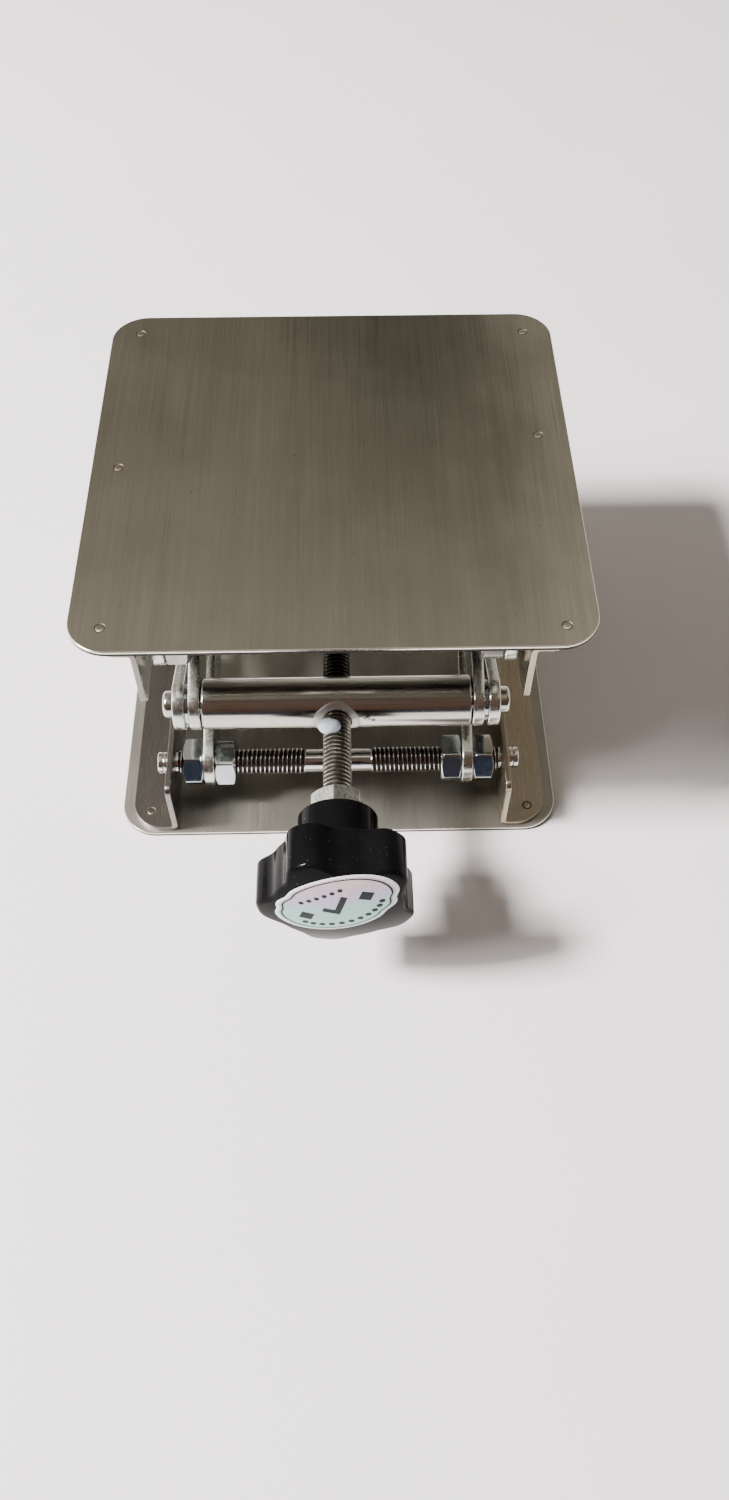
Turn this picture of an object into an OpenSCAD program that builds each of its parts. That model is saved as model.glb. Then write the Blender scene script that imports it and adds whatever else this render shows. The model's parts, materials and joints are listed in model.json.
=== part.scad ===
// Laboratory scissor jack: a square support platform on two stacked scissor
// stages, raised by a star-knob lead screw between the two mid crossbars.
// X is across the jack, -Y points to the knob, Z is up.
// The origin is the centre of the base plate's underside.

/* [Height] */
// distance from the base underside to the platform top
height = 66; // [45:1:150]
// lowest height the slots allow
height_low = 45; // [45:1:60]
// greatest height the slots allow
height_high = 150; // [120:1:150]

/* [Plates] */
// side of both square plates
plate_w = 100; // [80:1:120]
// sheet thickness of the plates
plate_t = 1.2; // [0.8:0.1:2]
// corner radius of the plates
plate_r = 8; // [4:0.5:12]

/* [Rails] */
// half distance between the inner faces of a rail pair
rail_in = 36.8; // [36.8:0.1:40]
// sheet thickness of the rails
rail_t = 1.2; // [1:0.1:1.6]
// standing height of the rail walls
rail_h = 16; // [14:0.5:18]
// width of the welded flange
rail_flange = 10.5; // [8:0.5:12]
// length of the rails
rail_len = 98.6; // [90:0.2:99]
// inner bend radius of the rails
bend_r = 0.6; // [0.4:0.1:1]
// height of the rod axes over the plate's outer face
slide_h = 11; // [10:0.5:12]

/* [Arms] */
// distance between an arm's end pivots
arm_len = 75; // [70:0.5:75]
// width of the arms
arm_w = 11; // [9:0.5:11]
// thickness of the arms
arm_t = 2.5; // [2:0.1:3]
// inner face of the lower inner arms, from the centre plane
low_inner_x = 27.8; // [26:0.1:28.9]
// inner face of the upper inner arms
up_inner_x = 28.6; // [28:0.1:28.9]
// inner face of the lower outer arms
low_outer_x = 31.9; // [31.5:0.1:32.2]
// inner face of the upper outer arms
up_outer_x = 33.3; // [33:0.1:33.6]
// Y of the fixed column of pivots
front_y = -37.2; // [-39:0.1:-35]

/* [Rods and nuts] */
// major diameter of the M6 threads
thread_d = 5.9; // [5.8:0.05:6]
// plain middle of the cross rods
shank_d = 5.2; // [4.8:0.1:5.6]
// length of the plain middle
shank_len = 15; // [10:1:30]
// turned ends that run in the rails
end_d = 5; // [4:0.1:5.4]
// half length of the threaded part
shoulder_x = 36.5; // [36:0.1:36.6]
// half length of the cross rods
rod_half = 40.9; // [40:0.1:45]
// nut size across flats
nut_af = 10; // [10:0.5:10]
// nut thickness
nut_t = 4.7; // [3:0.1:4.9]
// radial running clearance of every pivot
fit = 0.06; // [0.02:0.01:0.1]

/* [Crossbars] */
// diameter of the two mid crossbars
bar_d = 11; // [10:0.5:11]
// end gap between the thick part and the inner arms
bar_gap = 0.3; // [0.1:0.1:1]
// turned journals that carry the arms
journal_d = 4.8; // [4:0.1:5.2]
// peened journal heads
head_d = 5.8; // [5.4:0.1:6.4]
// depth of the flats on the rear bar
spot_depth = 0.9; // [0.5:0.1:1.5]
// depth of the countersinks in the front bar
sink_depth = 2.3; // [1:0.1:3]

/* [Lead screw] */
// front end of the screw, inside the knob
screw_front = -81.8; // [-83:0.1:-75]
// diameter of the turned rear journal
screw_end_d = 5; // [4:0.1:5.4]
// thickness of the thrust washers
thrust_t = 1; // [0.8:0.1:1.5]

/* [Knob] */
// rear face of the knob hub
knob_back = -66.3; // [-70:0.1:-60]
// length of the knob hub
hub_len = 9.4; // [5:0.1:12]
// radius of the knob hub
hub_r = 8; // [6:0.1:10]
// length of the lobed body at its centre
knob_len = 11.9; // [8:0.1:14]
// radius over the lobes
knob_r = 15.8; // [14:0.1:18]
// depth of the valleys between the lobes
lobe_depth = 2.85; // [2:0.05:5]
// number of lobes
lobes = 5; // [3:1:7]
// rounding of the front and rear edges
knob_round = 0.8; // [0.5:0.1:3]
// radius of the domed front face
dome_r = 52; // [40:1:200]
// turn of the knob from one lobe straight down
knob_turn = -11; // [-36:1:36]
// half width and half height of the oval label
label_size = [12.4, 8.7]; // [6:0.1:14]
// centre of the label from the knob axis
label_at = [-0.3, 3]; // [-6:0.1:6]
// tilt of the label
label_tilt = 27; // [-90:1:90]

/* [Hidden] */
$fn = 96;
steel = [0.60, 0.58, 0.54];
rail_steel = [0.56, 0.53, 0.50];
zinc = [0.74, 0.76, 0.80];
bar_steel = [0.66, 0.65, 0.66];
screw_steel = [0.42, 0.42, 0.43];
black = [0.05, 0.05, 0.055];
foil = [0.80, 0.82, 0.86];

rise = (height - 2 * slide_h) / 2;
fold = asin(rise / arm_len);
rear_y = front_y + arm_len * cos(fold);
mid_z = height / 2;
top_z = height - slide_h;
centre_y = (front_y + rear_y) / 2;
low_centre_z = slide_h + rise / 2;
up_centre_z = mid_z + rise / 2;
function column_y(h) = front_y + sqrt(pow(arm_len, 2) - pow((h - 2 * slide_h) / 2, 2));
low_inner_out = low_inner_x + arm_t;
up_inner_out = up_inner_x + arm_t;
low_out = low_outer_x + arm_t;
up_out = up_outer_x + arm_t;
knob_front = knob_back - hub_len - knob_len;
nut_corner = nut_af / cos(30);

// ---- shared shapes ----

// a rectangle with rounded corners, centred
module round_rect(w, l, r) {
    square([w - 2 * r, l], center = true);
    square([w, l - 2 * r], center = true);
    for (x = [-1, 1], y = [-1, 1])
        translate([x * (w / 2 - r), y * (l / 2 - r)]) circle(r = r);
}

// sheet plate with its lower face at z
module plate(z) {
    translate([0, 0, z]) linear_extrude(height = plate_t) round_rect(plate_w, plate_w, plate_r);
}

// a cylinder along X from x0 to x1
module bar_x(x0, x1, d, y, z) {
    translate([x0, y, z]) rotate([0, 90, 0]) cylinder(h = x1 - x0, d = d);
}

// a cylinder along Y from y0 to y1
module bar_y(y0, y1, d, z) {
    translate([0, y0, z]) rotate([-90, 0, 0]) cylinder(h = y1 - y0, d = d);
}

// copies to the left and right side
module both_sides() {
    children();
    mirror([1, 0, 0]) children();
}

// section of a bent angle: the wall stands at the inner edge of the flange
module angle_section() {
    outer = bend_r + rail_t;
    translate([0, outer]) square([rail_t, rail_h - outer]);
    translate([outer, 0]) square([rail_flange - outer, rail_t]);
    intersection() {
        translate([outer, outer]) difference() {
            circle(r = outer);
            circle(r = bend_r);
        }
        square([outer, outer]);
    }
}

// base rail of the right side: a round hole in front and a slot behind
module rail() {
    slot_front = column_y(height_high) - 0.5;
    slot_back = column_y(height_low) + 0.5;
    slot_d = end_d + 2 * fit;
    difference() {
        intersection() {
            translate([rail_in, rail_len / 2, plate_t]) rotate([90, 0, 0])
                linear_extrude(height = rail_len) angle_section();
            linear_extrude(height = plate_t + rail_h)
                round_rect(2 * (rail_in + rail_flange), rail_len, plate_r - 1);
            translate([0, 0, plate_t]) rotate([0, 90, 0]) rotate([0, 0, 90])
                linear_extrude(height = plate_w / 2) round_rect(rail_len, 2 * rail_h, 2);
        }
        bar_x(rail_in - 1, rail_in + rail_t + 1, slot_d, front_y, slide_h);
        bar_x(rail_in - 1, rail_in + rail_t + 1, slot_d, slot_front, slide_h);
        bar_x(rail_in - 1, rail_in + rail_t + 1, slot_d, slot_back, slide_h);
        translate([rail_in - 1, slot_front, slide_h - slot_d / 2])
            cube([rail_t + 2, slot_back - slot_front, slot_d]);
    }
}

// flat link from the pivot (y, z) along an angle, its inner face at x
module arm(x, y, z, angle) {
    translate([x, y, z]) rotate([angle, 0, 0]) difference() {
        union() {
            bar_x(0, arm_t, arm_w, 0, 0);
            bar_x(0, arm_t, arm_w, arm_len, 0);
            translate([0, 0, -arm_w / 2]) cube([arm_t, arm_len, arm_w]);
        }
        children();
    }
}

// three pivot holes: first end, middle, far end
module arm_holes(d_first, d_far) {
    bar_x(-1, arm_t + 1, d_first + 2 * fit, 0, 0);
    bar_x(-1, arm_t + 1, journal_d + 2 * fit, arm_len / 2, 0);
    bar_x(-1, arm_t + 1, d_far + 2 * fit, arm_len, 0);
}

// cross rod: plain middle, threaded lengths and turned ends
module cross_rod(y, z) {
    tip = 0.4;
    translate([0, y, z]) rotate([0, 90, 0]) rotate_extrude() polygon([
        [0, -rod_half], [end_d / 2 - tip, -rod_half], [end_d / 2, -rod_half + tip],
        [end_d / 2, -shoulder_x], [thread_d / 2, -shoulder_x], [thread_d / 2, -shank_len / 2],
        [shank_d / 2, -shank_len / 2], [shank_d / 2, shank_len / 2],
        [thread_d / 2, shank_len / 2], [thread_d / 2, shoulder_x],
        [end_d / 2, shoulder_x], [end_d / 2, rod_half - tip],
        [end_d / 2 - tip, rod_half], [0, rod_half]]);
}

// hex nut along Z with chamfered corners
module hex_nut(t, bore) {
    cut = 0.55;
    difference() {
        intersection() {
            cylinder(h = t, d = nut_corner, $fn = 6);
            rotate_extrude() polygon([[0, 0], [nut_af / 2 - 0.1, 0], [nut_corner / 2 + 0.1, cut],
                [nut_corner / 2 + 0.1, t - cut], [nut_af / 2 - 0.1, t], [0, t]]);
        }
        translate([0, 0, -1]) cylinder(h = t + 2, d = bore);
    }
}

// rod nut on both sides, starting at x
module rod_nuts(x, y, z) {
    both_sides() translate([x, y, z]) rotate([0, 90, 0]) hex_nut(nut_t, thread_d + 0.1);
}

// flat ring along X, from x0 to x1
module ring_x(x0, x1, d, bore, y, z) {
    difference() {
        bar_x(x0, x1, d, y, z);
        bar_x(x0 - 1, x1 + 1, bore, y, z);
    }
}

// half section of a round head with a rounded outer edge, from height h to h + t
module head_section(r, h, t, edge) {
    intersection() {
        translate([0, h]) square([r, t]);
        union() {
            translate([0, h]) square([r, t - edge]);
            translate([0, h]) square([r - edge, t]);
            translate([r - edge, h + t - edge]) circle(r = edge);
        }
    }
}

// riveted centre pin: low inner head, shaft and outer head
module centre_rivet(inner, outer, head_t, y, z) {
    translate([0, y, z]) rotate([0, 90, 0]) rotate_extrude() {
        translate([0, inner - 0.05]) mirror([0, 1]) head_section(3.9, 0, 1.25, 0.8);
        translate([0, inner - 0.05]) square([journal_d / 2, outer - inner + 0.1]);
        head_section(3.7, outer + 0.05, head_t, 0.5);
    }
}

// mid crossbar: thick bar, turned journals and peened heads
module crossbar(y, inner, outer, head_t) {
    translate([0, y, mid_z]) rotate([0, 90, 0]) rotate_extrude() {
        head_section(bar_d / 2, 0, inner - bar_gap, 0.4);
        square([journal_d / 2, outer + 0.05 + head_t / 2]);
        head_section(head_d / 2, outer + 0.05, head_t, 0.9);
    }
}

// ---- plates and rails ----

module base_plate() {
    color(steel) plate(0);
}

module base_rail_right() {
    color(rail_steel) rail();
}

module base_rail_left() {
    color(rail_steel) mirror([1, 0, 0]) rail();
}

module top_plate() {
    color(steel) plate(height - plate_t);
}

module top_rail_right() {
    color(rail_steel) translate([0, 0, height]) mirror([0, 0, 1]) rail();
}

module top_rail_left() {
    color(rail_steel) mirror([1, 0, 0]) translate([0, 0, height]) mirror([0, 0, 1]) rail();
}

// ---- arms ----

module lower_inner_arm_right() {
    color(zinc) arm(low_inner_x, front_y, slide_h, fold) arm_holes(thread_d, journal_d);
}

module lower_inner_arm_left() {
    mirror([1, 0, 0]) lower_inner_arm_right();
}

module lower_outer_arm_right() {
    color(zinc) arm(low_outer_x, rear_y, slide_h, 180 - fold) arm_holes(thread_d, journal_d);
}

module lower_outer_arm_left() {
    mirror([1, 0, 0]) lower_outer_arm_right();
}

module upper_inner_arm_right() {
    color(zinc) arm(up_inner_x, rear_y, top_z, 180 + fold) arm_holes(thread_d, journal_d);
}

module upper_inner_arm_left() {
    mirror([1, 0, 0]) upper_inner_arm_right();
}

module upper_outer_arm_right() {
    color(zinc) arm(up_outer_x, front_y, top_z, -fold) arm_holes(thread_d, journal_d);
}

module upper_outer_arm_left() {
    mirror([1, 0, 0]) upper_outer_arm_right();
}

// ---- cross rods and their nuts ----

module front_base_rod() {
    color(zinc) cross_rod(front_y, slide_h);
}

module rear_base_rod() {
    color(zinc) cross_rod(rear_y, slide_h);
}

module front_top_rod() {
    color(zinc) cross_rod(front_y, top_z);
}

module rear_top_rod() {
    color(zinc) cross_rod(rear_y, top_z);
}

module front_base_nuts() {
    color(zinc) {
        rod_nuts(low_inner_x - nut_t, front_y, slide_h);
        rod_nuts(low_inner_out, front_y, slide_h);
    }
}

module rear_base_nuts() {
    color(zinc) rod_nuts(low_outer_x - nut_t, rear_y, slide_h);
}

module front_top_nuts() {
    color(zinc) rod_nuts(up_outer_x - nut_t, front_y, top_z);
}

module rear_top_nuts() {
    color(zinc) {
        rod_nuts(up_inner_x - nut_t, rear_y, top_z);
        rod_nuts(up_inner_out, rear_y, top_z);
    }
}

// ---- centre pivots of the two scissor stages ----

module lower_centre_rivets() {
    color(zinc) both_sides() centre_rivet(low_inner_x, low_out, 1.4, centre_y, low_centre_z);
}

module upper_centre_rivets() {
    color(zinc) both_sides() centre_rivet(up_inner_x, up_out, 0.75, centre_y, up_centre_z);
}

module lower_centre_washers() {
    color(zinc) both_sides()
        ring_x(low_inner_out + 0.05, low_outer_x - 0.05, 9, journal_d + 0.1, centre_y, low_centre_z);
}

module upper_centre_spacers() {
    color(zinc) both_sides()
        ring_x(up_inner_out + 0.05, up_outer_x - 0.05, 8.6, journal_d + 0.1, centre_y, up_centre_z);
}

// ---- mid crossbars ----

// threaded through for the screw, countersunk in front and behind
module front_crossbar() {
    sink = bar_d / 2 - sink_depth;
    color(bar_steel) difference() {
        both_sides() crossbar(front_y, up_inner_x, low_out, 2.3);
        bar_y(front_y - bar_d, front_y + bar_d, thread_d + 0.1, mid_z);
        translate([0, front_y - sink, mid_z]) rotate([90, 0, 0])
            cylinder(h = sink_depth + 0.1, r1 = 3.8, r2 = 5);
        translate([0, front_y + sink, mid_z]) rotate([-90, 0, 0])
            cylinder(h = sink_depth + 0.1, r1 = 3.8, r2 = 5);
    }
}

// bored for the screw's journal, with a flat on each side for its washers
module rear_crossbar() {
    flat = bar_d / 2 - spot_depth;
    color(bar_steel) difference() {
        both_sides() crossbar(rear_y, low_inner_x, up_out, 1.4);
        bar_y(rear_y - bar_d, rear_y + bar_d, screw_end_d + 2 * fit, mid_z);
        bar_y(rear_y - bar_d, rear_y - flat, 10.6, mid_z);
        bar_y(rear_y + flat, rear_y + bar_d, 10.6, mid_z);
    }
}

module front_bar_washers() {
    color(zinc) both_sides()
        ring_x(up_inner_out + 0.05, low_outer_x - 0.05, 9, journal_d + 0.1, front_y, mid_z);
}

module rear_bar_spacers() {
    color(zinc) both_sides()
        ring_x(low_inner_out + 0.05, up_outer_x - 0.05, 8.6, journal_d + 0.1, rear_y, mid_z);
}

// ---- lead screw and knob ----

// the screw turns in the rear crossbar between two thrust washers
module lead_screw() {
    shoulder = rear_y - bar_d / 2 + spot_depth - thrust_t - 0.05;
    end = rear_y + bar_d / 2 - spot_depth + thrust_t + 4.6;
    color(screw_steel) translate([0, 0, mid_z]) rotate([-90, 0, 0]) rotate_extrude() polygon([
        [0, screw_front], [thread_d / 2 - 0.6, screw_front], [thread_d / 2, screw_front + 0.6],
        [thread_d / 2, shoulder], [screw_end_d / 2, shoulder], [screw_end_d / 2, end - 0.4],
        [screw_end_d / 2 - 0.4, end], [0, end]]);
}

module thrust_washers() {
    flat = bar_d / 2 - spot_depth;
    color(zinc) for (y = [rear_y - flat - thrust_t - 0.02, rear_y + flat + 0.02])
        difference() {
            bar_y(y, y + thrust_t, 10, mid_z);
            bar_y(y - 1, y + thrust_t + 1, screw_end_d + 0.1, mid_z);
        }
}

module screw_end_nut() {
    y = rear_y + bar_d / 2 - spot_depth + thrust_t + 0.05;
    color(zinc) translate([0, y, mid_z]) rotate([-90, 0, 0]) hex_nut(3.6, screw_end_d + 0.1);
}

module knob_lock_nut() {
    color(zinc) translate([0, knob_back + 5.1, mid_z]) rotate([90, 0, 0])
        hex_nut(5.1, thread_d + 0.1);
}

// star outline with broad lobes, one of them pointing down before the turn
module star(r, depth, n) {
    polygon([for (i = [0:179]) let (
        a = 2 * i,
        c = pow((1 + cos(n * (a + 90 - knob_turn))) / 2, 1.25),
        q = r - depth * (1 - c * c * (3 - 2 * c)))
        q * [cos(a), sin(a)]]);
}

// half section of the lobed body: rounded rims and a domed front
module knob_section() {
    k = knob_round;
    rim = knob_len - dome_r + sqrt(pow(dome_r - k, 2) - pow(knob_r - k, 2));
    translate([0, k]) square([knob_r, rim - k]);
    square([knob_r - k, k + 0.1]);
    for (z = [k, rim]) translate([knob_r - k, z]) circle(r = k);
    intersection() {
        square([(knob_r - k) * dome_r / (dome_r - k), knob_len]);
        translate([0, knob_len - dome_r]) circle(r = dome_r);
    }
}

// hub behind, lobed body in front, blind bore for the screw
module knob() {
    body_back = knob_back - hub_len;
    color(black) difference() {
        union() {
            bar_y(body_back, knob_back, 2 * hub_r, mid_z);
            translate([0, body_back, mid_z]) rotate([90, 0, 0]) intersection() {
                linear_extrude(height = knob_len) star(knob_r, lobe_depth, lobes);
                rotate_extrude() knob_section();
            }
        }
        bar_y(screw_front - 0.3, knob_back + 1, thread_d + 0.1, mid_z);
    }
}

// thin oval label that follows the domed front of the knob
module knob_label() {
    color(foil) translate([0, knob_front, mid_z]) rotate([90, 0, 0]) intersection() {
        translate([label_at[0], label_at[1], -4]) rotate([0, 0, label_tilt])
            linear_extrude(height = 5) polygon(
                [for (i = [0:71]) [label_size[0] * cos(5 * i), label_size[1] * sin(5 * i)]]);
        rotate_extrude() intersection() {
            translate([0, -5]) square([20, 6]);
            difference() {
                translate([0, -dome_r]) circle(r = dome_r + 0.14);
                translate([0, -dome_r]) circle(r = dome_r + 0.02);
            }
        }
    }
}

base_plate();
base_rail_left();
base_rail_right();
top_plate();
top_rail_left();
top_rail_right();
lower_inner_arm_left();
lower_inner_arm_right();
lower_outer_arm_left();
lower_outer_arm_right();
upper_inner_arm_left();
upper_inner_arm_right();
upper_outer_arm_left();
upper_outer_arm_right();
front_base_rod();
rear_base_rod();
front_top_rod();
rear_top_rod();
front_base_nuts();
rear_base_nuts();
front_top_nuts();
rear_top_nuts();
lower_centre_rivets();
upper_centre_rivets();
lower_centre_washers();
upper_centre_spacers();
front_crossbar();
rear_crossbar();
front_bar_washers();
rear_bar_spacers();
lead_screw();
thrust_washers();
screw_end_nut();
knob_lock_nut();
knob();
knob_label();
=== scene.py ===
"""A small laboratory jack: two plates on a scissor linkage, lifted by a lead screw with a star knob.

Shapes are built in local millimetres and placed in the row frame, in metres, by a place function.
"""
import json
import math

import bmesh
import bpy
from mathutils import Matrix, Vector, geometry, noise


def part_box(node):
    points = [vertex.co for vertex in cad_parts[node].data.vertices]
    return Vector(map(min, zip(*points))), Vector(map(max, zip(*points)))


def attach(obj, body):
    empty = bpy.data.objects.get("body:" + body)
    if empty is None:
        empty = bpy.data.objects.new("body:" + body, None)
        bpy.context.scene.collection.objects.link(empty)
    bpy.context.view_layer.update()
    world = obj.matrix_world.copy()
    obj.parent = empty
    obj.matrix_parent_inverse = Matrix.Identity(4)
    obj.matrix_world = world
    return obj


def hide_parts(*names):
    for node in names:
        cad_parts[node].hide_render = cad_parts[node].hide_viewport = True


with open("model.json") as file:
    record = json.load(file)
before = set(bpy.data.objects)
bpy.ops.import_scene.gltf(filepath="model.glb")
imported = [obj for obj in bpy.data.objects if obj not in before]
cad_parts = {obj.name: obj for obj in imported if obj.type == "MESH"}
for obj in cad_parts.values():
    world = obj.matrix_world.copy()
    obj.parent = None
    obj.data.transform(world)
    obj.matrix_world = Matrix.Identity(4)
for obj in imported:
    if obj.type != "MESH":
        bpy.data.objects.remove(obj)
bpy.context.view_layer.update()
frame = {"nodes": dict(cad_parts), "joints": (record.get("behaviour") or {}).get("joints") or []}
NODES = frame["nodes"]
JOINT = {j["name"]: j for j in frame["joints"]}
MM = 0.001
SIDES = ((1, "right"), (-1, "left"))

# ---------------------------------------------------------------- dimensions, mm
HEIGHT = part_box("top_plate")[1].z / MM
LOWEST, HIGHEST = 45, 150  # the platform's height at the ends of its travel
PLATE_W, PLATE_T, PLATE_R = 100.0, 1.2, 8.0
PLATE_MARKS = [(-43.6, 44.0), (43.6, 43.2), (-44.4, -0.5), (43.6, 8.0), (-43.6, -44.0), (43.6, -45.0)]
RAIL_IN, RAIL_T, RAIL_H, RAIL_FLANGE, RAIL_LEN, BEND_R = 36.8, 1.2, 16.0, 10.5, 98.6, 0.6
RAIL_MARKS = [(43.3, -44.8), (43.9, 4.0), (43.4, 44.2)]
SLIDE_H = 11.0  # end rods from the floor, and from the top of the platform
ARM_LEN, ARM_W, ARM_T = 75.0, 11.0, 2.5
LOW_INNER_X, UP_INNER_X, LOW_OUTER_X, UP_OUTER_X = 27.8, 28.6, 31.9, 33.3
PIN_R, BAR_R, HOLE_GAP = 2.4, 5.5, 0.06
NUT_AF, NUT_T = 10.0, 4.7
THREAD_R, ROOT_R, PITCH = 2.95, 2.42, 1.0
END_R, SHANK_R, SHANK_HALF, SHOULDER_X, ROD_HALF = 2.5, 2.6, 7.5, 36.5, 40.9
GROOVES_X, GROOVE_DEPTH = (38.5, 39.4), 0.16
FRONT_Y = JOINT["scissor_fold"]["pos_m"][1] / MM
REAR_Y = JOINT["rear_bar_pivot"]["pos_m"][1] / MM
MID_Z = JOINT["rear_bar_pivot"]["pos_m"][2] / MM
TOP_Z = HEIGHT - SLIDE_H
FOLD = math.atan2(MID_Z - SLIDE_H, REAR_Y - FRONT_Y)
SCREW_FRONT, SCREW_SHOULDER, JOURNAL_R = -81.6, REAR_Y - 5.65, 2.5
KNOB_BACK, HUB_LEN, HUB_R, KNOB_LEN, KNOB_R, LOBE_DEPTH = -66.3, 9.4, 8.0, 11.9, 15.8, 2.85
KNOB_FRONT = KNOB_BACK - HUB_LEN - KNOB_LEN
DOME_R, KNOB_ROUND, KNOB_TURN = 52.0, 0.8, -11
LABEL_AT, LABEL_TILT, LABEL_HALF = (-0.3, 3.0), 27, (12.4, 8.7)
# (radius, height) of a spot weld's rings from the outside in, and which bands between them are burnt dark
WELD = ((1.30, 0.0), (1.12, 0.0), (1.02, -0.07), (0.90, -0.09), (0.78, -0.03), (0.62, 0.02), (0.25, 0.03))
WELD_DARK = (1, 2, 3)


# ---------------------------------------------------------------- shader nodes
def new_material(name):
    mat = bpy.data.materials.new(name)
    mat.use_nodes = True
    nt = mat.node_tree
    return mat, nt, nt.nodes["Principled BSDF"]


def link(nt, a, b):
    nt.links.new(a, b)


def coords(nt, scale=(1, 1, 1)):
    """Object coordinates in millimetres times scale."""
    tc = nt.nodes.new("ShaderNodeTexCoord")
    mp = nt.nodes.new("ShaderNodeMapping")
    mp.inputs["Scale"].default_value = [1000 * s for s in scale]
    link(nt, tc.outputs["Object"], mp.inputs["Vector"])
    return mp.outputs["Vector"]


def xyz(nt, vec):
    sep = nt.nodes.new("ShaderNodeSeparateXYZ")
    link(nt, vec, sep.inputs[0])
    return sep.outputs["X"], sep.outputs["Y"], sep.outputs["Z"]


def noise_tex(nt, vec, scale, detail, rough):
    n = nt.nodes.new("ShaderNodeTexNoise")
    n.inputs["Scale"].default_value = scale
    n.inputs["Detail"].default_value = detail
    n.inputs["Roughness"].default_value = rough
    link(nt, vec, n.inputs["Vector"])
    return n.outputs["Fac"]


def ramp(nt, fac, stops):
    r = nt.nodes.new("ShaderNodeValToRGB")
    els = r.color_ramp.elements
    while len(els) < len(stops):
        els.new(0.5)
    for el, (position, color) in zip(els, stops):
        el.position = position
        el.color = (*color, 1)
    link(nt, fac, r.inputs["Fac"])
    return r.outputs["Color"]


def value_map(nt, fac, lo, hi, a, b):
    """fac from lo to hi, mapped to a to b and held there beyond."""
    m = nt.nodes.new("ShaderNodeMapRange")
    m.inputs["From Min"].default_value = lo
    m.inputs["From Max"].default_value = hi
    m.inputs["To Min"].default_value = a
    m.inputs["To Max"].default_value = b
    link(nt, fac, m.inputs["Value"])
    return m.outputs["Result"]


def mix_color(nt, fac, a, b):
    m = nt.nodes.new("ShaderNodeMix")
    m.data_type = "RGBA"
    for sock, v in ((m.inputs["Factor"], fac), (m.inputs["A"], a), (m.inputs["B"], b)):
        if isinstance(v, tuple):
            sock.default_value = (*v, 1)
        else:
            link(nt, v, sock)
    return m.outputs["Result"]


def math_node(nt, op, a, b=0.0):
    m = nt.nodes.new("ShaderNodeMath")
    m.operation = op
    for i, v in enumerate((a, b)):
        if isinstance(v, (int, float)):
            m.inputs[i].default_value = v
        else:
            link(nt, v, m.inputs[i])
    return m.outputs[0]


def add_bump(nt, bsdf, height, strength, distance):
    b = nt.nodes.new("ShaderNodeBump")
    b.inputs["Strength"].default_value = strength
    b.inputs["Distance"].default_value = distance * MM
    link(nt, height, b.inputs["Height"])
    link(nt, b.outputs["Normal"], bsdf.inputs["Normal"])


def times(color, k):
    return tuple(c * k for c in color)


# ---------------------------------------------------------------- materials
def dark_band_and_painted_sheen(nt, col):
    """A soft dark band along Y right of the middle, strongest at the back, and side edges painted paler as a
    painted sheen.
    """
    band_x = 17.0
    x, y, _ = xyz(nt, coords(nt))
    wander = noise_tex(nt, coords(nt, (0.05, 0.02, 0.05)), 1.0, 3, 0.6)
    x = math_node(nt, "ADD", x, value_map(nt, wander, 0.3, 0.7, -7.0, 7.0))
    off = math_node(nt, "ABSOLUTE", math_node(nt, "SUBTRACT", x, band_x))
    across = value_map(nt, off, 4.0, 32.0, 1.0, 0.0)
    along = value_map(nt, y, -40.0, 46.0, 0.1, 0.85)
    col = mix_color(nt, math_node(nt, "MULTIPLY", across, along), col, (0.22, 0.212, 0.172))
    # painted sheen: the side edges are painted paler, the right one most
    right_edge = value_map(nt, x, 30.0, 50.0, 0.0, 0.75)
    left_edge = value_map(nt, x, -34.0, -50.0, 0.0, 0.15)
    return mix_color(nt, math_node(nt, "ADD", right_edge, left_edge), col, (0.67, 0.625, 0.51))


def brushed_steel(name, base, dark, rough=(0.26, 0.40), aniso=0.75, along=0.06, colour_overlay=None):
    """Steel brushed along Y. A smaller along makes longer streaks."""
    mat, nt, bsdf = new_material(name)
    fine = noise_tex(nt, coords(nt, (9, along, 9)), 0.55, 4, 0.65)
    band = noise_tex(nt, coords(nt, (0.16, 0.012, 0.16)), 1.0, 2, 0.5)
    cloud = noise_tex(nt, coords(nt, (0.05, 0.05, 0.05)), 1.0, 3, 0.6)
    speck = noise_tex(nt, coords(nt), 1.3, 2, 0.5)
    col = mix_color(nt, value_map(nt, band, 0.3, 0.7, 0.0, 1.0), dark, base)
    col = mix_color(nt, value_map(nt, fine, 0.40, 0.70, 0.0, 0.55), col, times(base, 0.70))
    col = mix_color(nt, value_map(nt, cloud, 0.52, 0.75, 0.0, 0.30), col, times(dark, 0.88))
    # an overlay painted into the colour, such as the top plate's painted sheen
    if colour_overlay:
        col = colour_overlay(nt, col)
    col = mix_color(nt, value_map(nt, speck, 0.72, 0.76, 0.0, 0.45), col, (0.10, 0.085, 0.07))
    link(nt, col, bsdf.inputs["Base Color"])
    r = math_node(nt, "ADD", value_map(nt, fine, 0.3, 0.7, *rough), value_map(nt, cloud, 0.4, 0.7, 0.0, 0.05))
    link(nt, r, bsdf.inputs["Roughness"])
    bsdf.inputs["Metallic"].default_value = 1.0
    bsdf.inputs["Anisotropic"].default_value = aniso
    tangent = nt.nodes.new("ShaderNodeCombineXYZ")
    tangent.inputs["X"].default_value = 1.0
    link(nt, tangent.outputs[0], bsdf.inputs["Tangent"])
    add_bump(nt, bsdf, fine, 0.22, 0.02)
    return mat


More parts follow.
